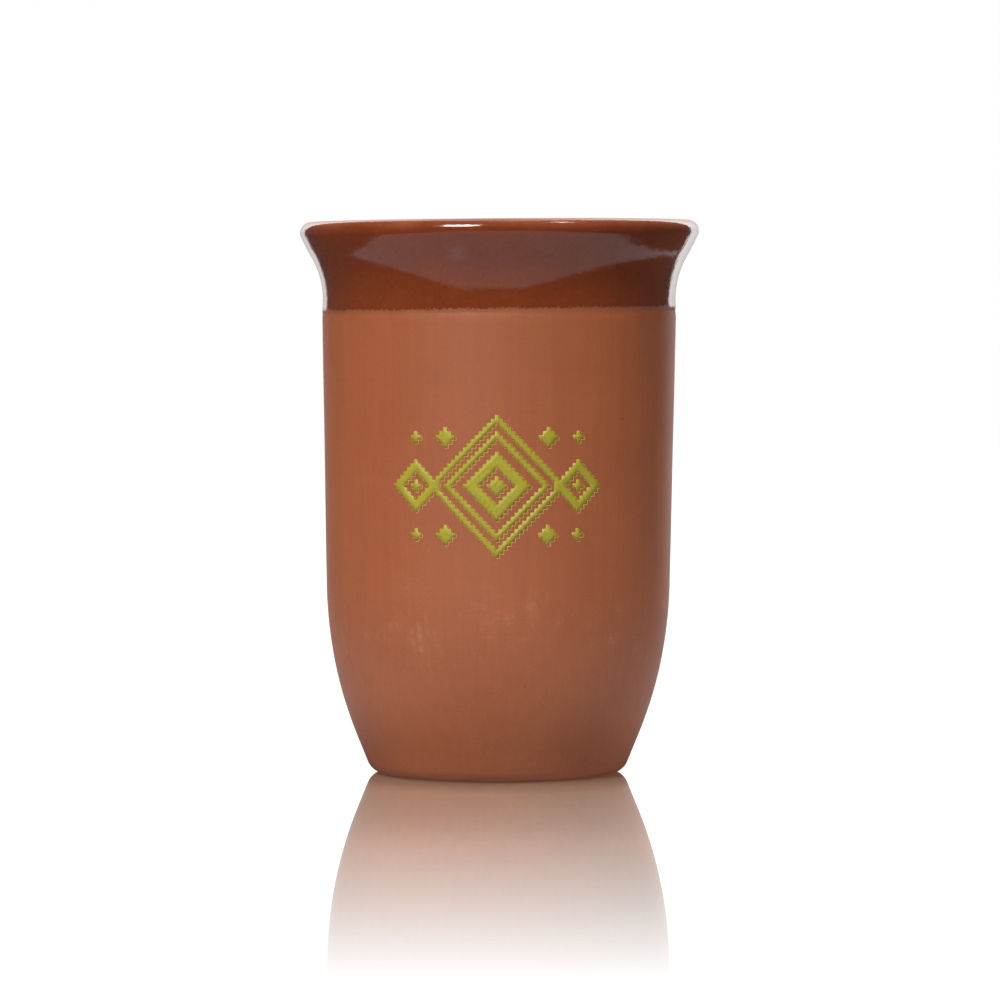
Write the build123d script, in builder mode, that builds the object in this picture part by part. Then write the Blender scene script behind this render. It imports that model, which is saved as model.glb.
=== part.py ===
from build123d import *
from math import asin, atan2, cos, radians, sin, tan
import os

# Earthenware drinking cup, millimetres. +Z is up, and the origin is the middle of the foot, on the table.
# The cup is one turned pot. Two coats of glaze lie on it: a lining poured inside, and a dip over the lip.

# Body: a tall barrel, a little narrower at the shoulder, drawn in below it to the foot
cup_height = 120.0
body_radius = 38.48
shoulder_inset = 1.54
shoulder_height = 23.8
foot_inset = 9.81
foot_fillet = 3.8

# Top: the body turns in at a collar, then out again from the neck to the flared lip
rim_flare = 5.72
neck_inset = 0.85
neck_below_rim = 14.1
collar_length = 6.45

# How much of the straight run beside it each long curve takes up, outside and in
shoulder_curve_share = 0.66
inner_shoulder_curve_share = 0.56
neck_curve_share = 0.74
collar_curve_share = 0.11

# Thickness of the clay
wall = 4.6
lip_thickness = 4.25
floor_thickness = 5.4
floor_fillet = 8.5

# Shallow hollow turned under the foot, which leaves a ring to stand on
ring_width = 5.6
ring_fillet = 0.5
hollow_depth = 1.1
hollow_flare = 0.9
hollow_fillet = 1.6

# Glaze
glaze = 0.2
bead_radius = 0.3
dip_depth = 19.0

# Places that follow from the sizes above. The rim's are taken over the glaze, the others on the clay.
neck_radius = body_radius - neck_inset
rim_radius = neck_radius + rim_flare
shoulder_radius = body_radius - shoulder_inset
foot_radius = shoulder_radius - foot_inset
hollow_mouth = foot_radius - ring_width
neck_height = cup_height - neck_below_rim
collar_height = neck_height - collar_length
dip_height = cup_height - dip_depth
floor_height = hollow_depth + floor_thickness
floor_radius = foot_radius - wall + foot_inset * floor_height / shoulder_height
lip_round = lip_thickness / 2
lip_centre = Vector(rim_radius - glaze - lip_round, cup_height - glaze - lip_round)


def touch_lip(corner, side):
    """The point where a straight run from a corner of the outline meets the round lip without a kink.

    side is 1 for the run up the outside and -1 for the one up the inside.
    """
    run = lip_centre - corner
    lean = atan2(run.X, run.Y) + side * asin(lip_round / run.length)
    return lip_centre + Vector(cos(lean), -sin(lean)) * side * lip_round


def curve_radius(before, corner, after, reach):
    """Radius of the fillet that leaves the outline a given reach before a corner, and as far after it."""
    turn = radians((corner - before).get_angle(after - corner))
    return reach / tan(turn / 2)


# Corners of the outline, outside and in, and the curves that round them
foot_corner = Vector(foot_radius, 0)
shoulder_corner = Vector(shoulder_radius, shoulder_height)
collar_corner = Vector(body_radius, collar_height)
neck_corner = Vector(neck_radius, neck_height)
inset = Vector(wall, 0)
floor_corner = Vector(floor_radius, floor_height)
belly_reach = shoulder_curve_share * (shoulder_corner - foot_corner).length
inner_belly_reach = inner_shoulder_curve_share * (shoulder_corner - inset - floor_corner).length
collar_run = (neck_corner - collar_corner).length
shoulder_fillet = curve_radius(foot_corner, shoulder_corner, collar_corner, belly_reach)
inner_shoulder_fillet = curve_radius(foot_corner, shoulder_corner, collar_corner, inner_belly_reach)
collar_fillet = curve_radius(shoulder_corner, collar_corner, neck_corner, collar_curve_share * collar_run)
neck_fillet = curve_radius(collar_corner, neck_corner, touch_lip(neck_corner, 1), neck_curve_share * collar_run)

# Half section of the clay. Down to the shoulder the inside is the outside outline, set in by the wall.
with BuildSketch(Plane.XZ) as clay_section:
    with BuildLine():
        outside = FilletPolyline(
            (0, hollow_depth),
            (hollow_mouth - hollow_flare, hollow_depth),
            (hollow_mouth, 0),
            foot_corner,
            shoulder_corner,
            collar_corner,
            neck_corner,
            touch_lip(neck_corner, 1),
            radius=[hollow_fillet, ring_fillet, foot_fillet, shoulder_fillet, collar_fillet, neck_fillet],
        )
        inside = FilletPolyline(
            touch_lip(neck_corner - inset, -1),
            neck_corner - inset,
            collar_corner - inset,
            shoulder_corner - inset,
            floor_corner,
            (0, floor_height),
            radius=[neck_fillet, collar_fillet, inner_shoulder_fillet, floor_fillet],
        )
        TangentArc(outside @ 1, inside @ 0, tangent=outside % 1)
        Line(inside @ 1, outside @ 0)
    make_face()

# Fired clay: foot, belly, collar, flared lip and floor in one piece
with BuildPart() as clay_body:
    add(clay_section.sketch)
    revolve(axis=Axis.Z)

# Lining poured inside: what lies within a glaze thickness of the clay in the hollow, up to the dip
with BuildPart() as inner_glaze:
    with BuildSketch(Plane.XZ):
        with BuildLine():
            add(inside)
            Polyline(inside @ 0, (0, (inside @ 0).Y), inside @ 1)
        make_face()
        offset(clay_section.sketch_local, amount=glaze, mode=Mode.INTERSECT)
        Rectangle(rim_radius, dip_height, align=(Align.MIN, Align.MIN), mode=Mode.INTERSECT)
    revolve(axis=Axis.Z)

# Dip over the lip, down to the same level outside and inside. Outside, its edge drew up into a thin roll.
with BuildPart() as rim_glaze:
    with BuildSketch(Plane.XZ) as dip_section:
        offset(clay_section.sketch_local, amount=glaze, mode=Mode.ADD)
        add(clay_section.sketch_local, mode=Mode.SUBTRACT)
        with Locations((0, dip_height)):
            Rectangle(rim_radius, dip_depth, align=(Align.MIN, Align.MIN), mode=Mode.INTERSECT)
        dip_edge = dip_section.vertices().group_by(Axis.Y)[0].sort_by(Axis.X)[-2]
        with Locations(dip_edge):
            Circle(bead_radius)
        add(clay_section.sketch_local, mode=Mode.SUBTRACT)
    revolve(axis=Axis.Z)

clay_body.part.label = "clay_body"
inner_glaze.part.label = "inner_glaze"
rim_glaze.part.label = "rim_glaze"

os.makedirs("parts", exist_ok=True)
export_step(clay_body.part, "parts/clay_body.step")
export_step(inner_glaze.part, "parts/inner_glaze.step")
export_step(rim_glaze.part, "parts/rim_glaze.step")
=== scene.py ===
from math import asin, atan2, ceil, cos, pi, radians, sin, sqrt, tan

import bmesh
import bpy
from mathutils import Matrix, Vector, noise


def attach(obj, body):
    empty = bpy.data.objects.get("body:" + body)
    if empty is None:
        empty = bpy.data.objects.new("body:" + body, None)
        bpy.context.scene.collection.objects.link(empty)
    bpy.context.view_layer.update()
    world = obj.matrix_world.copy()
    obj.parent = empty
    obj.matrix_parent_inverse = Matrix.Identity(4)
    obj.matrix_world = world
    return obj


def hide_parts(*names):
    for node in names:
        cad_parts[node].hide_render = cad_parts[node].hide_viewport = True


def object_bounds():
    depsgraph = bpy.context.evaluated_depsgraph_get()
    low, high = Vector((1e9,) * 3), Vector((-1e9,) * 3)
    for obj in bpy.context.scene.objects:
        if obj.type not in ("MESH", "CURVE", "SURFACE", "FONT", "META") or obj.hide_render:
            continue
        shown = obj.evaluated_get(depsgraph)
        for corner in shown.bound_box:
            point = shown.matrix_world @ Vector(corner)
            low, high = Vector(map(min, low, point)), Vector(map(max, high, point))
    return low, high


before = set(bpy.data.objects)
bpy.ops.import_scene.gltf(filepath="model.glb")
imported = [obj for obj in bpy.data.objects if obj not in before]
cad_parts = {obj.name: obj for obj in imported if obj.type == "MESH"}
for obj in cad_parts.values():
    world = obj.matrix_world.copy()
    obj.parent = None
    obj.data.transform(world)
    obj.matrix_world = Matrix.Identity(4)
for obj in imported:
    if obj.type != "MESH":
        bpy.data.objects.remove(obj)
cadLow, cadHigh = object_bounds()
print("frame loaded:", ", ".join(sorted(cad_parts)))

mm = 0.001  # pieces are drawn in millimetres, and turned to metres when they are finished

# The turned pot in millimetres. Its height and rim are read from its solids, and the rest are their driving
# sizes. Belly, neck and flare differ from those by a little, to follow the real outline more closely.
cup = {
    "height": cadHigh.z / mm,
    "rimRadius": cadHigh.x / mm,
    "bodyRadius": 38.48,
    "shoulderInset": 1.42,  # how much narrower the shoulder is than the body
    "shoulderHeight": 23.8,
    "footInset": 9.68,  # and the foot than the shoulder
    "footRound": 3.8,
    "neckInset": 1.11,
    "neckBelowRim": 13.17,
    "collarLength": 7.38,
    "flareOut": 4.1,  # the flare eases off a little here, just under the lip
    "flareBelowRim": 6.3,
    "flareRound": 25.0,
    "wall": 4.6,
    "lipThickness": 4.25,
    "floorThickness": 5.4,
    "floorRound": 8.5,
    "ringWidth": 5.6,
    "ringRound": 0.5,
    "hollowDepth": 1.1,
    "hollowFlare": 0.9,
    "hollowRound": 1.6,
    "shoulderCurveShare": 0.66,  # how much of the straight run beside it each long curve takes up
    "innerShoulderCurveShare": 0.56,
    "neckCurveShare": 0.905,
    "collarCurveShare": 0.08,
}

# Coats of glaze, in millimetres
coat = {
    "thickness": 0.2,
    "dipDepth": 19.0,
    "edgeRoll": 0.21,  # thickest part of the roll at the lower edge of the dip
    "edgeFade": 1.4,  # height over which the roll thins out to nothing
    "edgeFlat": 2.0,  # height over which it passes into the even coat above
    "edgeRings": 12,  # rings of faces in the roll
    "edgeWave": 0.2,  # how far the edge of the dip wanders up and down
    "waveLength": 9.0,
    "rippleLength": 3.0,  # of a smaller wave on it
    "rippleShare": 0.4,
    "edgeFray": 0.12,  # how ragged the edge is
    "frayLength": 1.1,
    "edgeTilt": 0.35,  # how much lower the edge hangs on the left
    "edgeReach": 3.0,  # how far above and below the edge the coat moves with it
    "edgeSlope": -0.1,  # how the wall's radius changes with height there
}

# How far the hand-turned pot is from true, in millimetres
handMade = {
    "lean": 0.4,  # the rim stands this far to the right of the foot
    "aside": 0.05,  # and the whole pot this far to the right of its place
    "rimTilt": 0.28,  # the right of the rim is this much higher than its middle
    "tiltPower": 4,  # how closely the tilt keeps to the rim
    "uneven": 0.05,
    "unevenLength": 21.0,
    "evenCentre": 1.0,  # nothing nearer the axis than this is uneven
}

# Fineness of the meshes
fineness = {
    "edge": 1.15,  # longest edge along the outline, in millimetres
    "arcStep": 7.0,  # most degrees that one edge of a round turns
    "turnSteps": 288,  # faces round the pot
    "doublings": 4,  # a sector of so many halvings is spun, and copied round
    "merge": 0.0005,  # corners nearer than this, in millimetres, become one
    "sharp": 60.0,  # degrees past which the edge between two faces of a coat is sharp
}


def at(radius, height):
    return Vector((radius, 0, height))


# Places on the clay's outline that follow from the sizes
neckRadius = cup["bodyRadius"] - cup["neckInset"]
shoulderRadius = cup["bodyRadius"] - cup["shoulderInset"]
footRadius = shoulderRadius - cup["footInset"]
hollowMouth = footRadius - cup["ringWidth"]
wallMiddle = neckRadius - cup["wall"] / 2
neckHeight = cup["height"] - cup["neckBelowRim"]
collarHeight = neckHeight - cup["collarLength"]
dipHeight = cup["height"] - coat["dipDepth"]
floorHeight = cup["hollowDepth"] + cup["floorThickness"]
floorRadius = footRadius - cup["wall"] + cup["footInset"] * floorHeight / cup["shoulderHeight"]
lipRound = cup["lipThickness"] / 2
lipCentre = at(cup["rimRadius"] - coat["thickness"] - lipRound, cup["height"] - coat["thickness"] - lipRound)

inset = at(cup["wall"], 0)
foot = at(footRadius, 0)
shoulder = at(shoulderRadius, cup["shoulderHeight"])
collar = at(cup["bodyRadius"], collarHeight)
neck = at(neckRadius, neckHeight)
flare = at(neckRadius + cup["flareOut"], cup["height"] - cup["flareBelowRim"])
floorCorner = at(floorRadius, floorHeight)


def touchLip(corner, side):  # where a straight run from the corner meets the round lip, 1 outside, -1 inside
    run = lipCentre - corner
    lean = atan2(run.x, run.z) + side * asin(lipRound / run.length)
    return lipCentre + at(cos(lean), -sin(lean)) * side * lipRound


def curveRadius(before, corner, after, reach):  # radius of a round that starts this far before its corner
    return reach / tan((corner - before).angle(after - corner) / 2)


lipOutside = touchLip(flare, 1)
lipInside = touchLip(neck - inset, -1)
bellyReach = cup["shoulderCurveShare"] * (shoulder - foot).length
innerBellyReach = cup["innerShoulderCurveShare"] * (shoulder - inset - floorCorner).length
collarRun = (neck - collar).length
shoulderRound = curveRadius(foot, shoulder, collar, bellyReach)
innerShoulderRound = curveRadius(foot, shoulder, collar, innerBellyReach)
collarRound = curveRadius(shoulder, collar, neck, cup["collarCurveShare"] * collarRun)
neckRound = curveRadius(collar, neck, flare, cup["neckCurveShare"] * collarRun)
innerNeckRound = curveRadius(collar - inset, neck - inset, lipInside, cup["neckCurveShare"] * collarRun)


# The pen draws half an outline in the XZ plane. Straight runs are extruded, and rounds are spun.
def penLine(bm, pen, target):
    start = pen.co.copy()
    steps = ceil((target - start).length / fineness["edge"])
    for step in range(steps):
        pen = bmesh.ops.extrude_vert_indiv(bm, verts=[pen])["verts"][0]
        pen.co = start.lerp(target, (step + 1) / steps)
    return pen


def penArc(bm, pen, centre, turn):  # a positive turn is to the left
    length = (pen.co - centre).length * abs(turn)
    steps = ceil(max(length / fineness["edge"], abs(turn) / radians(fineness["arcStep"])))
    made = bmesh.ops.spin(bm, geom=[pen], cent=centre, axis=(0, -1, 0), angle=turn, steps=steps)
    return next(part for part in made["geom_last"] if isinstance(part, bmesh.types.BMVert))


def penRound(bm, pen, corner, after, radius):
    ahead = (corner - pen.co).normalized()
    leaving = (after - corner).normalized()
    turn = ahead.angle(leaving)
    side = 1 if ahead.cross(leaving).y < 0 else -1
    pen = penLine(bm, pen, corner - ahead * radius * tan(turn / 2))
    centre = pen.co + at(-ahead.z, ahead.x) * side * radius
    return penArc(bm, pen, centre, side * turn)


def penPath(bm, pen, corners, radii):
    for corner, after, radius in zip(corners, corners[1:], radii):
        pen = penRound(bm, pen, corner, after, radius)
    return penLine(bm, pen, corners[-1])


def penLip(bm, pen):  # over the round lip, from the outside to the inside
    start = lipOutside - lipCentre
    end = lipInside - lipCentre
    return penArc(bm, pen, lipCentre, atan2(end.z, end.x) - atan2(start.z, start.x))


# Cuts the outline at a height: outside the middle of the neck's wall (side 1), inside it (-1) or both (0)
def cutOutline(bm, height, side, **cleared):
    edges = [edge for edge in bm.edges if all((vert.co.x - wallMiddle) * side >= 0 for vert in edge.verts)]
    verts = {vert for edge in edges for vert in edge.verts}
    geom = edges + list(verts)
    bmesh.ops.bisect_plane(bm, geom=geom, plane_co=(0, 0, height), plane_no=(0, 0, 1), **cleared)


def turnOnWheel(bm):  # spins one sector, then doubles it until it closes
    sector = 2 * pi / 2 ** fineness["doublings"]
    steps = fineness["turnSteps"] // 2 ** fineness["doublings"]
    bmesh.ops.spin(bm, geom=bm.verts[:] + bm.edges[:], axis=(0, 0, 1), angle=sector, steps=steps)
    for doubling in range(fineness["doublings"]):
        made = bmesh.ops.duplicate(bm, geom=bm.verts[:] + bm.edges[:] + bm.faces[:])
        turned = [part for part in made["geom"] if isinstance(part, bmesh.types.BMVert)]
        bmesh.ops.rotate(bm, verts=turned, matrix=Matrix.Rotation(sector * 2 ** doubling, 3, "Z"))
    bmesh.ops.remove_doubles(bm, verts=bm.verts, dist=fineness["merge"])


def edgeWander(vert):  # how far the edge of the dip hangs above or below its level, at this side of the pot
    across = Vector((vert.co.x, vert.co.y, 0))
    wave = noise.noise(across / coat["waveLength"])
    ripple = coat["rippleShare"] * noise.noise(across / coat["rippleLength"])
    fray = noise.noise(across / coat["frayLength"])
    tilt = coat["edgeTilt"] * vert.co.x / neckRadius
    return coat["edgeWave"] * (wave + ripple) + coat["edgeFray"] * fray + tilt


def setByHand(bm):  # the small lean and unevenness, the same for every piece, so that they stay seated
    for vert in bm.verts:
        x, y, z = vert.co
        share = z / cup["height"]
        radius = sqrt(x * x + y * y)
        swell = handMade["uneven"] * noise.noise(vert.co / handMade["unevenLength"])
        swell *= min(1, radius / neckRadius) * min(1, z / cup["footRound"])
        scale = 1 + (swell / radius if radius > handMade["evenCentre"] else 0)
        lean = handMade["lean"] * (share - 0.5) + handMade["aside"]
        tilt = handMade["rimTilt"] * x / cup["rimRadius"] * share ** handMade["tiltPower"]
        vert.co = Vector((x * scale + lean, y * scale, z + tilt))


def addObject(bm, name, material):
    mesh = bpy.data.meshes.new(name)
    bm.to_mesh(mesh)
    bm.free()
    mesh.materials.append(material)
    added = bpy.data.objects.new(name, mesh)
    bpy.context.scene.collection.objects.link(added)
    return added


def finishPiece(bm, name, material, slot, *nodes):
    aboveDip = bm.verts.layers.float.new("aboveDip")  # millimetres above the edge of the dip
    for vert in bm.verts:
        vert[aboveDip] = vert.co.z - dipHeight - edgeWander(vert)
    setByHand(bm)
    bmesh.ops.scale(bm, vec=(mm, mm, mm), verts=bm.verts)
    piece = addObject(bm, name, material)
    piece.data.shade_smooth()
    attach(piece, "root")
    if nodes:
        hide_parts(*nodes)
    triangles = sum(len(face.vertices) - 2 for face in piece.data.polygons)
    print(f"made {name}: {triangles} triangles")


# Materials. Their colours are sRGB hex, and the sizes of their patterns are in millimetres.
def hexColour(code):  # sRGB hex to linear
    channels = [int(code[i:i + 2], 16) / 255 for i in (0, 2, 4)]
    return [c / 12.92 if c <= 0.04045 else ((c + 0.055) / 1.055) ** 2.4 for c in channels] + [1]


def perSize(size):  # texture scale for a pattern whose features are this many millimetres across
    return 1 / (size * mm)


# Adds a node with its settings and links. A node given as an input stands for its first output. A Map Range
# has its value at input 0, the span of that value at 1 and 2, and what the span becomes at 3 and 4.
def addNode(tree, kind, inputs=None, **settings):
    node = tree.nodes.new("ShaderNode" + kind)
    for name, value in settings.items():
        setattr(node, name, value)
    for name, value in (inputs or {}).items():
        if isinstance(value, bpy.types.Node):
            value = value.outputs[0]
        if isinstance(value, bpy.types.NodeSocket):
            tree.links.new(value, node.inputs[name])
        else:
            node.inputs[name].default_value = value
    return node


def newMaterial(name):
    material = bpy.data.materials.new(name)
    material.use_nodes = True
    material.node_tree.nodes.clear()
    return material, material.node_tree


def layOver(tree, colour, cover, share, code):  # lays a second colour over this one, by a share of the cover
    cover = addNode(tree, "Math", {0: cover, 1: share}, operation="MULTIPLY")
    mixed = addNode(tree, "Mix", {0: cover, 6: colour, 7: hexColour(code)}, data_type="RGBA")
    return mixed.outputs[2]


def shadeBy(tree, colour, *patterns):  # each pattern of noise takes the colour down and up by its contrast
    for pattern, start, end, contrast in patterns:
        shade = addNode(tree, "MapRange", {0: pattern, 1: start, 2: end, 3: 1 - contrast, 4: 1 + contrast})
        colour = addNode(tree, "VectorMath", {0: colour, 1: shade}, operation="MULTIPLY")
    return colour


# Round dots in the cells of a pattern whose own random colour is over a value in one channel. The radius, at
# which a dot starts to fade and ends, is in parts of the spacing.
def sparseDots(tree, place, dots):
    cell = addNode(tree, "TexVoronoi", {"Vector": place, "Scale": perSize(dots["spacing"])}).outputs
    full, gone = dots["radius"]
    dot = addNode(tree, "MapRange", {0: cell["Distance"], 1: full, 2: gone, 3: 1, 4: 0})
    draw = addNode(tree, "SeparateColor", {0: cell["Color"]}).outputs[dots["channel"]]
    picked = addNode(tree, "Math", {0: draw, 1: dots["over"]}, operation="GREATER_THAN")
    return addNode(tree, "Math", {0: dot, 1: picked}, operation="MULTIPLY")


# Grit along the edge of the dip, coarser than it really is, so that it shows, and how far it moves the edge
raggedEdge = {"size": 0.4, "reach": 0.35}


def aboveEdge(tree, place):  # millimetres above the ragged edge of the dip
    aboveDip = addNode(tree, "Attribute", attribute_name="aboveDip").outputs["Fac"]
    grit = addNode(tree, "TexNoise", {"Vector": place, "Scale": perSize(raggedEdge["size"]), "Detail": 3})
    reach = raggedEdge["reach"]
    ragged = addNode(tree, "MapRange", {0: grit, 1: 0.3, 2: 0.7, 3: -reach, 4: reach})
    return addNode(tree, "Math", {0: aboveDip, 1: ragged}, operation="ADD")


# Bare clay
clayLook = {
    "dark": "a65933",
    "light": "ac5e36",
    "cloudSize": 24,
    "streakSize": 1.3,  # upright sponge marks
    "streakStretch": (1, 1, 0.045),
    "streakContrast": 0.03,
    "ringSize": 0.8,  # turning rings
    "ringStretch": (0.04, 0.04, 1),
    "ringContrast": 0.01,
    "sandSize": 0.45,  # real sand is about half of this, which wouldn't show
    "sandContrast": 0.04,
    "rubHeight": 34,  # height of the pale rub above the table
    "rubReach": (4, 12),  # how far from there it starts to fade, and is gone
    "rubPatch": 6,
    "rub": (0.26, "c9a590"),  # share and colour of what lies over the clay
    "darkLineReach": (-1.3, 0.1),  # heights from the dip's edge between which the clay grows darker
    "darkLine": (0.55, "6f3520"),
    "pits": {"spacing": 7, "radius": (0.03, 0.05), "channel": 0, "over": 0.7},
    "pit": (0.55, "4a2417"),
    "roughness": 0.55,
    "ior": 1.5,
    "specular": 0.7,
    "relief": 0.04,  # height of the grains
    "reliefStrength": 0.5,
}


def makeEarthenware():
    # Earthenware, red clay pressed and turned, sponged smooth and fired without glaze: dry and matt, with a
    # fine sandy grain, faint turning rings and upright sponge marks, and a pale rub where pots stood against
    # each other.
    material, tree = newMaterial("earthenware")
    look = clayLook
    place = addNode(tree, "TexCoord").outputs["Object"]
    upright = addNode(tree, "Mapping", {"Vector": place, "Scale": look["streakStretch"]})
    level = addNode(tree, "Mapping", {"Vector": place, "Scale": look["ringStretch"]})
    cloud = addNode(tree, "TexNoise", {"Vector": place, "Scale": perSize(look["cloudSize"]), "Detail": 3})
    streak = addNode(tree, "TexNoise", {"Vector": upright, "Scale": perSize(look["streakSize"]), "Detail": 3})
    ring = addNode(tree, "TexNoise", {"Vector": level, "Scale": perSize(look["ringSize"]), "Detail": 3})
    sand = addNode(tree, "TexNoise", {"Vector": place, "Scale": perSize(look["sandSize"]), "Detail": 2})

    lightness = addNode(tree, "MapRange", {0: cloud, 1: 0.35, 2: 0.65, 3: 0, 4: 1})
    colour = layOver(tree, hexColour(look["dark"]), lightness, 1, look["light"])
    streaks = (streak, 0.35, 0.65, look["streakContrast"])
    grains = (sand, 0.3, 0.7, look["sandContrast"])
    rings = (ring, 0.35, 0.65, look["ringContrast"])
    colour = shadeBy(tree, colour, streaks, grains, rings)

    # pale rub round the shoulder, in patches of fine scratches
    height = addNode(tree, "SeparateXYZ", {0: place}).outputs[2]
    fromRub = addNode(tree, "Math", {0: height, 1: look["rubHeight"] * mm}, operation="SUBTRACT")
    fromRub = addNode(tree, "Math", {0: fromRub}, operation="ABSOLUTE")
    full, gone = look["rubReach"]
    band = addNode(tree, "MapRange", {0: fromRub, 1: full * mm, 2: gone * mm, 3: 1, 4: 0})
    patchScale = perSize(look["rubPatch"])
    patch = addNode(tree, "TexNoise", {"Vector": place, "Scale": patchScale, "Detail": 8, "Roughness": 0.75})
    patch = addNode(tree, "MapRange", {0: patch, 1: 0.54, 2: 0.7, 3: 0, 4: 1})
    scratch = addNode(tree, "MapRange", {0: streak, 1: 0.4, 2: 0.6, 3: 0.2, 4: 1})
    rub = addNode(tree, "Math", {0: band, 1: patch}, operation="MULTIPLY")
    rub = addNode(tree, "Math", {0: rub, 1: scratch}, operation="MULTIPLY")
    colour = layOver(tree, colour, rub, *look["rub"])

    # a ragged darker line in the clay, just below the edge of the dip
    start, end = look["darkLineReach"]
    belowEdgeDark = addNode(tree, "MapRange", {0: aboveEdge(tree, place), 1: start, 2: end, 3: 0, 4: 1})
    colour = layOver(tree, colour, belowEdgeDark, *look["darkLine"])

    # small burnt-out pits, well apart
    pit = sparseDots(tree, place, look["pits"])
    colour = layOver(tree, colour, pit, *look["pit"])

    relief = addNode(tree, "Math", {0: sand, 1: pit}, operation="SUBTRACT")
    bump = addNode(tree, "Bump", {
        "Height": relief,
        "Strength": look["reliefStrength"],
        "Distance": look["relief"] * mm,
    })
    surface = addNode(tree, "BsdfPrincipled", {
        "Base Color": colour,
        "Roughness": look["roughness"],
        "IOR": look["ior"],
        "Specular IOR Level": look["specular"],
        "Normal": bump,
    })
    addNode(tree, "OutputMaterial", {0: surface})
    return material


# What both glazes share, and what is each one's own
glazeLook = {
    "cloudSize": 11,
    "mottleSize": 0.9,
    "contrast": 0.07,
    "thinWander": 0.6,  # how far the level wanders at which the glaze ran thin
    "specks": {"spacing": 2.6, "radius": (0.05, 0.12), "channel": 0, "over": 0.72},
    "speck": (0.45, "2a120a"),
    "edgeReach": (0.2, 1.5),  # heights from the dip's edge between which the dark of the edge fades
    "edgeColour": "5a2814",
    "bareReach": (-0.3, 0.35),  # and the clay that shows through the very edge
    "bareColour": "a25c3b",
    "bareRoughness": 0.6,
    "pinholes": {"spacing": 9, "radius": (0.02, 0.04), "channel": 1, "over": 0.5},
    "pinhole": (0.6, "c9a18c"),
    "skinSize": 1.2,
    "relief": 0.035,
    "roughness": (0.07, 0.12),
    "ior": 1.52,
}
rimLook = {
    "name": "rimGlaze",
    "deep": "7c371a",
    "thin": "8c4b31",
    "thinFrom": 117.9,  # heights above the table between which it runs thin
    "thinTo": 119.5,
    "edgeDark": 0.08,
    "edgeBare": 1,
}
liningLook = {
    "name": "liningGlaze",
    "deep": "8f4b2a",
    "thin": "9a5632",
    "thinFrom": 60,
    "thinTo": 100,
    "edgeDark": 0,
    "edgeBare": 0,
}


def makeGlaze(own):
    # Glaze, poured or dipped over red clay and fired to a gloss: brown where it lies thick, more orange
    # where it ran thin, with faint clouding, pinholes and specks, and a skin that isn't quite even.
    material, tree = newMaterial(own["name"])
    look = glazeLook
    place = addNode(tree, "TexCoord").outputs["Object"]
    height = addNode(tree, "SeparateXYZ", {0: place}).outputs[2]
    cloud = addNode(tree, "TexNoise", {"Vector": place, "Scale": perSize(look["cloudSize"]), "Detail": 4})
    mottle = addNode(tree, "TexNoise", {"Vector": place, "Scale": perSize(look["mottleSize"]), "Detail": 3})

    reach = look["thinWander"] * mm
    wander = addNode(tree, "MapRange", {0: cloud, 1: 0.3, 2: 0.7, 3: -reach, 4: reach})
    level = addNode(tree, "Math", {0: height, 1: wander}, operation="ADD")
    thin = addNode(tree, "MapRange", {0: level, 1: own["thinFrom"] * mm, 2: own["thinTo"] * mm, 3: 0, 4: 1})
    colour = layOver(tree, hexColour(own["deep"]), thin, 1, own["thin"])
    clouds = (cloud, 0.3, 0.7, look["contrast"])
    mottles = (mottle, 0.3, 0.7, look["contrast"])
    colour = shadeBy(tree, colour, clouds, mottles)

    # dark iron specks
    speck = sparseDots(tree, place, look["specks"])
    colour = layOver(tree, colour, speck, *look["speck"])

    # darker and duller where the edge of the dip soaked in
    above = aboveEdge(tree, place)
    start, end = look["edgeReach"]
    dark = addNode(tree, "MapRange", {0: above, 1: start, 2: end, 3: 1, 4: 0})
    colour = layOver(tree, colour, dark, own["edgeDark"], look["edgeColour"])
    start, end = look["bareReach"]
    bare = addNode(tree, "MapRange", {0: above, 1: start, 2: end, 3: own["edgeBare"], 4: 0})
    colour = layOver(tree, colour, bare, 1, look["bareColour"])

    # pale dots in the pinholes
    pinhole = sparseDots(tree, place, look["pinholes"])
    colour = layOver(tree, colour, pinhole, *look["pinhole"])

    skin = addNode(tree, "TexNoise", {"Vector": place, "Scale": perSize(look["skinSize"]), "Detail": 4})
    skin = addNode(tree, "Math", {0: skin, 1: pinhole}, operation="SUBTRACT")
    bump = addNode(tree, "Bump", {"Height": skin, "Strength": 1, "Distance": look["relief"] * mm})
    smooth, dull = look["roughness"]
    gloss = addNode(tree, "MapRange", {0: mottle, 1: 0.3, 2: 0.7, 3: smooth, 4: dull})
    gloss = addNode(tree, "Math", {0: bare, 1: look["bareRoughness"], 2: gloss}, operation="MULTIPLY_ADD")
    surface = addNode(tree, "BsdfPrincipled", {
        "Base Color": colour,
        "Roughness": gloss,
        "IOR": look["ior"],
        "Normal": bump,
    })
    addNode(tree, "OutputMaterial", {0: surface})
    return material


# Printing ink
inkLook = {
    "gritSize": 0.5,  # the mesh of a real screen is about a third of this, which wouldn't show
    "worn": (0.6, "a55f40"),
    "roughness": 0.5,
    "ior": 1.5,
    "relief": 0.02,
    "reliefStrength": 0.4,
}


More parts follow.
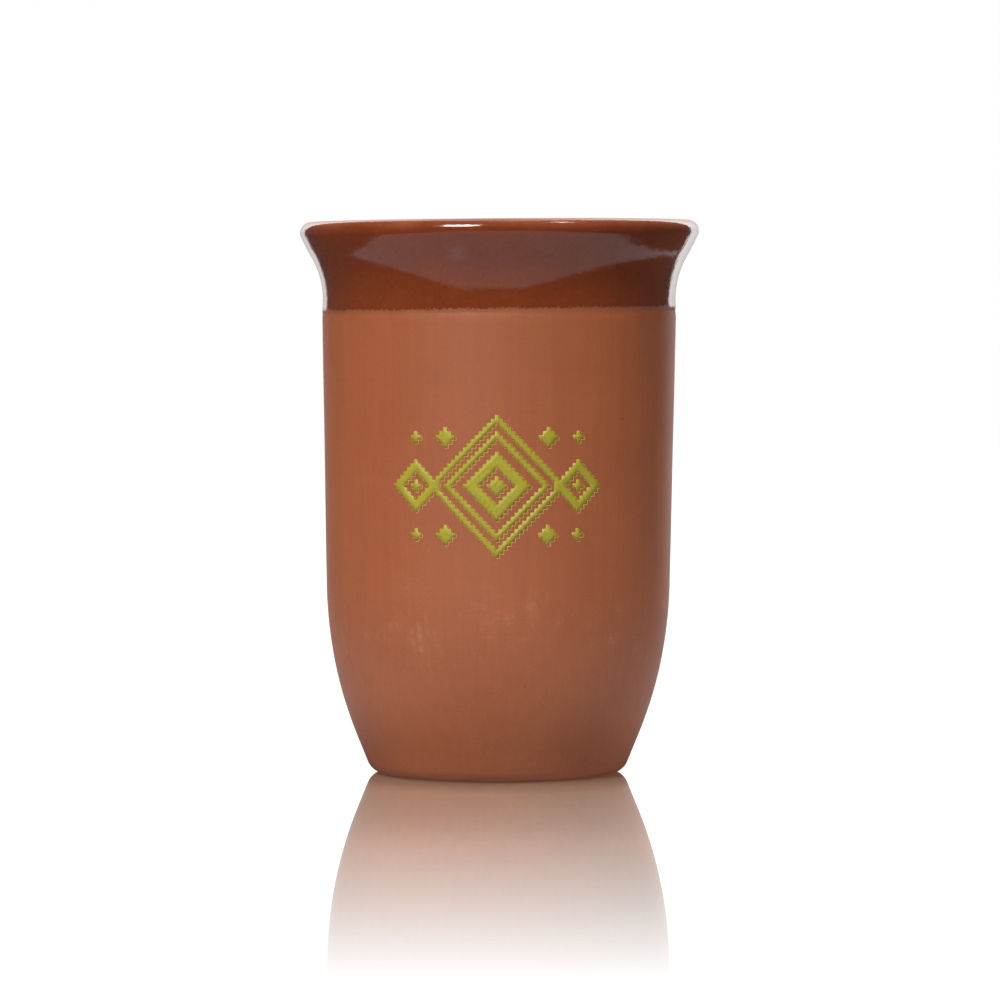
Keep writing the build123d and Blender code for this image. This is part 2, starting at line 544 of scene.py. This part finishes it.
def makeInk(name, dark, light):
    # Ceramic ink, screen printed and fired: dull, a little grainy, and worn through to the clay in specks.
    material, tree = newMaterial(name)
    look = inkLook
    place = addNode(tree, "TexCoord").outputs["Object"]
    grit = addNode(tree, "TexNoise", {"Vector": place, "Scale": perSize(look["gritSize"]), "Detail": 3})
    lightness = addNode(tree, "MapRange", {0: grit, 1: 0.35, 2: 0.65, 3: 0, 4: 1})
    colour = layOver(tree, hexColour(dark), lightness, 1, light)
    worn = addNode(tree, "MapRange", {0: grit, 1: 0.64, 2: 0.74, 3: 0, 4: 1})
    colour = layOver(tree, colour, worn, *look["worn"])
    bump = addNode(tree, "Bump", {
        "Height": grit,
        "Strength": look["reliefStrength"],
        "Distance": look["relief"] * mm,
    })
    surface = addNode(tree, "BsdfPrincipled", {
        "Base Color": colour,
        "Roughness": look["roughness"],
        "IOR": look["ior"],
        "Normal": bump,
    })
    addNode(tree, "OutputMaterial", {0: surface})
    return material


# Fired clay: the whole pot, from the hollow under the foot over the lip to the floor inside
def makeClay():
    bm = bmesh.new()
    pen = bm.verts.new(at(0, cup["hollowDepth"]))
    outside = [at(hollowMouth - cup["hollowFlare"], cup["hollowDepth"]), at(hollowMouth, 0)]
    outside += [foot, shoulder, collar, neck, flare, lipOutside]
    outsideRounds = [cup["hollowRound"], cup["ringRound"], cup["footRound"]]
    outsideRounds += [shoulderRound, collarRound, neckRound, cup["flareRound"]]
    pen = penPath(bm, pen, outside, outsideRounds)
    pen = penLip(bm, pen)
    inside = [neck - inset, collar - inset, shoulder - inset, floorCorner, at(0, floorHeight)]
    penPath(bm, pen, inside, [innerNeckRound, collarRound, innerShoulderRound, cup["floorRound"]])
    turnOnWheel(bm)
    bmesh.ops.recalc_face_normals(bm, faces=bm.faces)
    finishPiece(bm, "fired_clay", makeEarthenware(), "earthenware", "clay_body")


def shiftEdge(bm):  # moves the coat's edge along the clay, and leaves the rest where it is
    reach = coat["edgeReach"]
    near = [vert for vert in bm.verts if abs(vert.co.z - dipHeight) < reach]
    for vert in near:
        rise = edgeWander(vert) * (1 - abs(vert.co.z - dipHeight) / reach)
        out = 1 + rise * coat["edgeSlope"] / vert.co.xy.length
        vert.co = Vector((vert.co.x * out, vert.co.y * out, vert.co.z + rise))


def growCoat(bm, thickness):  # lifts a second skin off the clay's, and joins the two at their edges
    bmesh.ops.recalc_face_normals(bm, faces=bm.faces)
    flattest = max(bm.faces, key=lambda face: abs(face.normal.z))  # on top of the lip, or on the floor inside
    if flattest.normal.z < 0:
        bmesh.ops.reverse_faces(bm, faces=bm.faces)
    made = bmesh.ops.extrude_face_region(bm, geom=bm.faces[:], use_keep_orig=True)
    grown = [part for part in made["geom"] if isinstance(part, bmesh.types.BMVert)]
    bm.normal_update()
    for vert in grown:
        vert.co += vert.normal * thickness(vert)
    bmesh.ops.remove_doubles(bm, verts=bm.verts, dist=fineness["merge"])
    bmesh.ops.recalc_face_normals(bm, faces=bm.faces)
    for edge in bm.edges:  # only the coat's own edges are sharp
        edge.smooth = edge.calc_face_angle() < radians(fineness["sharp"])


def dipThickness(vert):  # even inside and over the lip, and a thin roll at the edge outside
    if vert.co.xy.length <= wallMiddle:
        return coat["thickness"]
    above = vert.co.z - dipHeight
    rolled = coat["edgeRoll"] * sin(pi / 2 * min(1, max(0, above / coat["edgeFade"] + 0.5)))
    flat = min(1, max(0, (above - coat["edgeFade"]) / coat["edgeFlat"]))
    return rolled + (coat["thickness"] - coat["edgeRoll"]) * flat


def makeRimGlaze():
    bm = bmesh.new()
    pen = bm.verts.new(collar)
    pen = penPath(bm, pen, [neck, flare, lipOutside], [neckRound, cup["flareRound"]])
    pen = penLip(bm, pen)
    penPath(bm, pen, [neck - inset, collar - inset], [innerNeckRound])
    for ring in range(coat["edgeRings"], 0, -1):
        cutOutline(bm, dipHeight + coat["edgeFade"] * (ring / coat["edgeRings"] - 0.5), 1)
    cutOutline(bm, dipHeight - coat["edgeFade"] / 2, 1, clear_inner=True)
    cutOutline(bm, dipHeight, -1, clear_inner=True)
    turnOnWheel(bm)
    growCoat(bm, dipThickness)
    shiftEdge(bm)
    finishPiece(bm, "dipped_rim", makeGlaze(rimLook), "rim_glaze", "rim_glaze")


def makeLining():
    bm = bmesh.new()
    pen = bm.verts.new(lipInside)
    corners = [neck - inset, collar - inset, shoulder - inset, floorCorner, at(0, floorHeight)]
    penPath(bm, pen, corners, [innerNeckRound, collarRound, innerShoulderRound, cup["floorRound"]])
    cutOutline(bm, dipHeight, 0, clear_outer=True)
    turnOnWheel(bm)
    growCoat(bm, lambda vert: coat["thickness"])
    shiftEdge(bm)
    finishPiece(bm, "poured_lining", makeGlaze(liningLook), "lining_glaze", "inner_glaze")


# Printed ornament: stepped diamonds in a row, cut from a sheet of small cells and wrapped on the body.
# A diamond is given by its middle, and by the first and last step of each of its bands, counted in cells.
ornament = {
    "cell": 0.86,  # side of a cell in millimetres
    "sheet": (27, 18),  # cells from the middle of the sheet to its side and to its top
    "fineCells": 5,  # parts of a cell that the thin line is cut from
    "middle": (-0.4, 63.7),  # middle of the print: to the right, and above the table
    "film": 0.035,
    "sunk": 0.02,  # how far the film starts below the skin of the clay
    "lineGap": 1,  # gap between a band and its line, and the line's width, in fine cells
    "lineWidth": 1,
    "olive": ("a39a26", "b5ab30"),
    "gold": ("bd9343", "cda552"),
    "diamonds": [
        ((0, 0), ((0, 2), (5, 8), (12, 13), (16, 17))),
        ((-21, 0), ((0, 1), (4, 6))),
        ((21, 0), ((0, 1), (4, 6))),
        ((-13, 12), ((0, 2),)),
        ((13, 12), ((0, 2),)),
        ((-13, -12), ((0, 2),)),
        ((13, -12), ((0, 2),)),
        ((-21, 12), ((0, 1),)),
        ((21, 12), ((0, 1),)),
        ((-21, -12), ((0, 1),)),
        ((21, -12), ((0, 1),)),
    ],
}


def inBand(x, z):  # whether a place on the sheet, in cells, lies in a band of a diamond
    for (middleX, middleZ), bands in ornament["diamonds"]:
        steps = abs(round(x - middleX)) + abs(round(z - middleZ))
        if any(first <= steps <= last for first, last in bands):
            return True
    return False


def cutSheet(name, fine, kept, material):
    bm = bmesh.new()
    size = ornament["cell"]
    across, up = (2 * half + 1 for half in ornament["sheet"])
    bmesh.ops.create_grid(bm, x_segments=across * fine, y_segments=up * fine, size=0.5)
    bmesh.ops.scale(bm, vec=(across * size, up * size, 1), verts=bm.verts)
    middles = {face: face.calc_center_median() / size for face in bm.faces}
    cut = [face for face, middle in middles.items() if not kept(middle.x, middle.y)]
    bmesh.ops.delete(bm, geom=cut, context="FACES")
    made = bmesh.ops.extrude_face_region(bm, geom=bm.faces[:], use_keep_orig=True)
    lifted = [part for part in made["geom"] if isinstance(part, bmesh.types.BMVert)]
    bmesh.ops.translate(bm, vec=(0, 0, ornament["film"] + ornament["sunk"]), verts=lifted)
    run = (collar.x - shoulder.x) / (collar.z - shoulder.z)
    middleX, middleZ = ornament["middle"]
    for vert in bm.verts:
        height = middleZ + vert.co.y
        radius = collar.x - run * (collar.z - height) + vert.co.z - ornament["sunk"]
        angle = (middleX + vert.co.x) / cup["bodyRadius"]
        vert.co = Vector((radius * sin(angle), -radius * cos(angle), height))
    bmesh.ops.recalc_face_normals(bm, faces=bm.faces)
    finishPiece(bm, name, material, "ceramic_ink")


def inLine(x, z):  # a thin line that follows each band on its right and lower sides
    near = ornament["lineGap"] / ornament["fineCells"]
    far = near + ornament["lineWidth"] / ornament["fineCells"]
    if not inBand(x - far, z + far) or inBand(x, z):
        return False
    return not any(inBand(x + a * near, z + b * near) for a in (-1, 0, 1) for b in (-1, 0, 1))


def makeOrnament():
    cutSheet("printed_ornament", 1, inBand, makeInk("oliveInk", *ornament["olive"]))
    cutSheet("printed_line", ornament["fineCells"], inLine, makeInk("goldInk", *ornament["gold"]))


makeClay()
makeRimGlaze()
makeLining()
makeOrnament()


# Floor, sweep and lamps. Distances are in metres.
studio = {
    "floorHalf": 9,  # half the side of the floor
    "table": (-0.188, 0.196, -0.44, 0.30),  # left, right, front and back edge of the pale table
    "tableSkew": 0.17,  # how far its right edge runs out towards the back
    "tableShine": (0.68, 0.72, 0.76),
    "potShade": (0.035, 0.075),  # distances from the pot's middle between which it stops shading the table
    "potShadeLeft": 0.1,  # and how much of the table's shine is left in that shade
    "lampOnTable": (-0.054, -0.104, 0.018),  # where a lamp glints on the table, and how wide
    "lampGlint": 1.9,
    "sweepLeft": 27.0,  # degrees that the lit sweep behind spans to each side
    "sweepRight": 34.0,
    "sweepStrength": 0.62,
    "sweepRise": 18.8,  # degrees from the middle of the sweep at which its light has doubled
    "sweepTop": 2.0,  # how much brighter the sweep is high up
    "sweepTopAt": 0.7,  # rise of the direction, out of 1, at which it's that bright
    "roomLight": 0.05,  # what the dim room adds from all sides
    "roomShine": 0.085,  # and how bright it looks in the gloss
    "tableBounce": 0.45,  # how much of the light the table throws back on the pot
    "lowAngle": (0.65, 0.86),  # slants of the look at the floor between which it turns into a mirror
    "floorGlow": 0.03,  # how white the floor looks at the pot's foot, before its lamps, seen at a low angle
    "glowReach": 0.363,  # distance at which it's all white
    "glowCurve": 2.45,  # power by which the white grows with that distance
    "glowAbove": 0.88,  # how white it looks from above
    "paintedPotBounce": (0.02, 0.0, -0.03),  # painted bounce light of the red pot: what it adds to that white, and takes from it
    "footShade": (0.024, 0.05),  # distances between which the shade of the pot's foot ends
    "footShadeLeft": (0.7, 0.5),  # and how much light is left in it, from above and at a low angle
    "footLight": 0.3,  # light that the pale sheet carries in under the foot
    "footLightEnd": 0.036,  # and how far out it shows
    "floorShade": 0.1,  # how much its shadows can take away
    "mirrorShare": 0.96,
    "mirrorFade": (0.151, 0.355),  # distances at which its mirror image starts to fade, and is gone
}


def sweepLight(tree, direction):  # light of the sweep behind the pot, which is brighter towards its sides
    parts = addNode(tree, "SeparateXYZ", {0: direction}).outputs
    side = addNode(tree, "Math", {0: parts[0], 1: parts[1]}, operation="ARCTAN2")
    left = addNode(tree, "Math", {0: side, 1: -radians(studio["sweepLeft"])}, operation="GREATER_THAN")
    right = addNode(tree, "Math", {0: side, 1: radians(studio["sweepRight"])}, operation="LESS_THAN")
    within = addNode(tree, "Math", {0: left, 1: right}, operation="MULTIPLY")
    spread = addNode(tree, "Math", {0: side, 1: radians(studio["sweepRise"])}, operation="DIVIDE")
    spread = addNode(tree, "Math", {0: spread, 1: spread, 2: 1.0}, operation="MULTIPLY_ADD")
    light = addNode(tree, "Math", {0: spread, 1: studio["sweepStrength"]}, operation="MULTIPLY")
    return addNode(tree, "Math", {0: light, 1: within}, operation="MULTIPLY")


# The world is white to the camera, a dim room with a lit sweep in the gloss, and a faint light all round
def makeWorld():
    world = bpy.data.worlds.new("studio")
    world.use_nodes = True
    tree = world.node_tree
    tree.nodes.clear()
    path = addNode(tree, "LightPath").outputs
    direction = addNode(tree, "TexCoord").outputs["Generated"]
    rise = addNode(tree, "SeparateXYZ", {0: direction}).outputs[2]
    rise = addNode(tree, "MapRange", {0: rise, 1: 0, 2: studio["sweepTopAt"], 3: 1, 4: studio["sweepTop"]})
    lit = addNode(tree, "Math", {0: sweepLight(tree, direction), 1: rise}, operation="MULTIPLY")
    shine = addNode(tree, "Math", {0: lit, 1: studio["roomShine"]}, operation="MAXIMUM")
    shine = addNode(tree, "Math", {0: shine, 1: path["Is Glossy Ray"]}, operation="MULTIPLY")
    strength = shine
    for ray in ("Is Camera Ray", "Is Transmission Ray", "Is Singular Ray"):
        strength = addNode(tree, "Math", {0: strength, 1: path[ray]}, operation="MAXIMUM")
    room = addNode(tree, "Math", {0: path["Is Diffuse Ray"], 1: studio["roomLight"]}, operation="MULTIPLY")
    strength = addNode(tree, "Math", {0: strength, 1: room}, operation="MAXIMUM")
    background = addNode(tree, "Background", {"Color": (1, 1, 1, 1), "Strength": strength})
    addNode(tree, "OutputWorld", {0: background})
    bpy.context.scene.world = world


def makeFloorMaterial():
    # Polished pale sheet: white to the camera, with a mirror image of the pot at a low angle, and a table
    # with the sweep behind it in the gloss
    material, tree = newMaterial("paleFloor")
    path = addNode(tree, "LightPath").outputs
    place = addNode(tree, "TexCoord").outputs["Object"]
    parts = addNode(tree, "SeparateXYZ", {0: place}).outputs
    flat = addNode(tree, "CombineXYZ", {0: parts[0], 1: parts[1], 2: 0.0})
    away = addNode(tree, "VectorMath", {0: flat}, operation="LENGTH").outputs["Value"]
    facing = addNode(tree, "LayerWeight", {0: 0.5}).outputs["Facing"]
    near, far = studio["lowAngle"]
    low = addNode(tree, "MapRange", {0: facing, 1: near, 2: far, 3: 0, 4: 1})

    # in the gloss: the table, with a lamp's glint on it and the pot's shade, and the sweep beyond
    left, right, front, back = studio["table"]
    skew = -studio["tableSkew"]
    skewed = addNode(tree, "Math", {0: parts[1], 1: skew, 2: parts[0]}, operation="MULTIPLY_ADD")
    sides = [
        (parts[0], left, "GREATER_THAN"),
        (skewed, right, "LESS_THAN"),
        (parts[1], front, "GREATER_THAN"),
        (parts[1], back, "LESS_THAN"),
    ]
    inside = 1
    for along, edge, test in sides:
        passed = addNode(tree, "Math", {0: along, 1: edge}, operation=test)
        inside = addNode(tree, "Math", {0: passed, 1: inside}, operation="MULTIPLY")
    lampX, lampY, lampWidth = studio["lampOnTable"]
    fromLamp = addNode(tree, "VectorMath", {0: place, 1: (lampX, lampY, 0)}, operation="DISTANCE")
    fromLamp = fromLamp.outputs["Value"]
    glint = addNode(tree, "MapRange", {0: fromLamp, 1: 0, 2: lampWidth, 3: studio["lampGlint"], 4: 1})
    shown = addNode(tree, "Math", {0: inside, 1: glint}, operation="MULTIPLY")
    near, far = studio["potShade"]
    unshaded = addNode(tree, "MapRange", {0: away, 1: near, 2: far, 3: studio["potShadeLeft"], 4: 1})
    shown = addNode(tree, "Math", {0: shown, 1: unshaded}, operation="MULTIPLY")
    table = addNode(tree, "VectorMath", {0: studio["tableShine"], 1: shown}, operation="MULTIPLY")
    beyond = addNode(tree, "Math", {0: parts[1], 1: back}, operation="GREATER_THAN")
    sweep = addNode(tree, "Math", {0: sweepLight(tree, place), 1: beyond}, operation="MULTIPLY")
    dim = addNode(tree, "Math", {0: sweep, 1: studio["roomShine"]}, operation="MAXIMUM")
    shine = addNode(tree, "VectorMath", {0: table, 1: dim}, operation="MAXIMUM")
    shine = addNode(tree, "VectorMath", {0: shine, 1: path["Is Glossy Ray"]}, operation="MULTIPLY")

    # to the camera: a white that grows with the distance, with the red pot's bounce light painted in, and a
    # painted shade under its foot
    spread = addNode(tree, "Math", {0: away, 1: studio["glowReach"]}, operation="DIVIDE")
    spread = addNode(tree, "Math", {0: spread, 1: studio["glowCurve"]}, operation="POWER")
    spread = addNode(tree, "MapRange", {0: spread, 1: 0, 2: 1, 3: studio["floorGlow"], 4: 1.0})
    glowing = addNode(tree, "MapRange", {0: low, 1: 0, 2: 1, 3: studio["glowAbove"], 4: spread})
    fromAbove, fromLow = studio["footShadeLeft"]
    deepest = addNode(tree, "MapRange", {0: low, 1: 0, 2: 1, 3: fromAbove, 4: fromLow})
    near, far = studio["footShade"]
    clear = addNode(tree, "MapRange", {0: away, 1: near, 2: far, 3: deepest, 4: 1})
    lacking = addNode(tree, "Math", {0: 1.0, 1: glowing}, operation="SUBTRACT")
    # painted bounce light of the red pot, warmer where the floor is less white
    paintedBounce = studio["paintedPotBounce"]
    bounceAdded = addNode(tree, "VectorMath", {0: lacking, 1: paintedBounce, 2: glowing}, operation="MULTIPLY_ADD")
    toCamera = addNode(tree, "Math", {0: clear, 1: path["Is Camera Ray"]}, operation="MULTIPLY")
    seen = addNode(tree, "VectorMath", {0: bounceAdded, 1: toCamera}, operation="MULTIPLY")

    # to soft light: the table's bounce, and what the sheet carries in under the foot
    carried = addNode(tree, "MapRange", {0: away, 1: near, 2: studio["footLightEnd"], 3: 1, 4: 0})
    carried = addNode(tree, "Math", {0: carried, 1: studio["footLight"]}, operation="MULTIPLY")
    carried = addNode(tree, "Math", {0: carried, 1: path["Is Diffuse Ray"]}, operation="MULTIPLY")
    light = addNode(tree, "VectorMath", {0: shine, 1: seen}, operation="ADD")
    light = addNode(tree, "VectorMath", {0: light, 1: carried}, operation="ADD")
    glow = addNode(tree, "Emission", {"Color": light, "Strength": 1.0})
    bounced = addNode(tree, "Math", {0: inside, 1: studio["tableBounce"]}, operation="MULTIPLY")
    shaded = addNode(tree, "Math", {0: clear, 1: studio["floorShade"]}, operation="MULTIPLY")
    paleness = addNode(tree, "Mix", {0: path["Is Camera Ray"], 2: bounced, 3: shaded})
    dull = addNode(tree, "Math", {0: 1.0, 1: path["Is Glossy Ray"]}, operation="SUBTRACT")
    paleness = addNode(tree, "Math", {0: paleness, 1: dull}, operation="MULTIPLY")
    white = addNode(tree, "BsdfDiffuse", {"Color": paleness})
    base = addNode(tree, "AddShader", {0: white, 1: glow})

    # polish: a mirror at a low angle that fades with distance from the pot
    near, far = studio["mirrorFade"]
    share = addNode(tree, "MapRange", {0: away, 1: near, 2: far, 3: studio["mirrorShare"], 4: 0})
    share = addNode(tree, "Math", {0: share, 1: low}, operation="MULTIPLY")
    share = addNode(tree, "Math", {0: share, 1: path["Is Camera Ray"]}, operation="MULTIPLY")
    mirror = addNode(tree, "BsdfAnisotropic", {"Color": share, "Roughness": 0.0})
    surface = addNode(tree, "AddShader", {0: base, 1: mirror})
    addNode(tree, "OutputMaterial", {0: surface})
    return material


def makeFloor():
    bm = bmesh.new()
    bmesh.ops.create_grid(bm, x_segments=1, y_segments=1, size=studio["floorHalf"])
    floor = addObject(bm, "floor", makeFloorMaterial())


# The azimuth is counted from the camera towards the right, and both angles are in degrees
lamps = {
    "key": {"azimuth": -26, "elevation": 41, "distance": 1.6, "size": 0.45, "power": 20.0, "shines": True},
    "high": {"azimuth": -10, "elevation": 55, "distance": 1.6, "size": 0.5, "power": 4.8},
    "edge": {"azimuth": 65, "elevation": 66, "distance": 1.6, "size": 0.18, "power": 2.0, "shines": True},
    "right": {"azimuth": 110, "elevation": 10, "distance": 1.6, "size": 0.6, "power": 0.6},
    "top": {"azimuth": 0, "elevation": 88, "distance": 1.6, "size": 0.8, "power": 5.4},
    "lowLeft": {"azimuth": -100, "elevation": -4, "distance": 0.4, "size": 0.15, "power": 0.15},
    "lowRight": {"azimuth": 100, "elevation": -4, "distance": 0.4, "size": 0.15, "power": 0.25},
    "back": {"azimuth": 170, "elevation": 45, "distance": 1.8, "size": 1.0, "power": 36.0},
}
lampTarget = Vector((0, 0, 0.06))  # the middle of the pot


def makeLamps():
    for name, lamp in lamps.items():
        data = bpy.data.lights.new(name, "AREA")
        data.size = lamp["size"]
        data.energy = lamp["power"]
        light = bpy.data.objects.new(name, data)
        azimuth, elevation = radians(lamp["azimuth"]), radians(lamp["elevation"])
        out = Vector((sin(azimuth) * cos(elevation), -cos(azimuth) * cos(elevation), sin(elevation)))
        light.location = lampTarget + out * lamp["distance"]
        light.rotation_euler = out.to_track_quat("Z", "Y").to_euler()
        light.visible_camera = False
        light.visible_glossy = lamp.get("shines", False)
        bpy.context.scene.collection.objects.link(light)


# Camera: place and reach in metres, lens and sensor in millimetres
view = {
    "place": (0.00037, -1.1, 0.103),
    "lookDown": 2.275,  # degrees below level
    "lens": 181.8,
    "sensor": 36,
    "nearest": 0.05,
    "farthest": 40,
}


def makeCamera():
    data = bpy.data.cameras.new("camera")
    data.sensor_width = view["sensor"]
    data.lens = view["lens"]
    data.clip_start = view["nearest"]
    data.clip_end = view["farthest"]
    camera = bpy.data.objects.new("camera", data)
    camera.location = view["place"]
    camera.rotation_euler = (radians(90 - view["lookDown"]), 0, 0)
    bpy.context.scene.collection.objects.link(camera)
    bpy.context.scene.camera = camera


makeWorld()
makeFloor()
makeLamps()
makeCamera()
bpy.context.scene.view_settings.view_transform = "Standard"
print(f"studio set: floor, {len(lamps)} lamps and camera")

print("pieces in place")
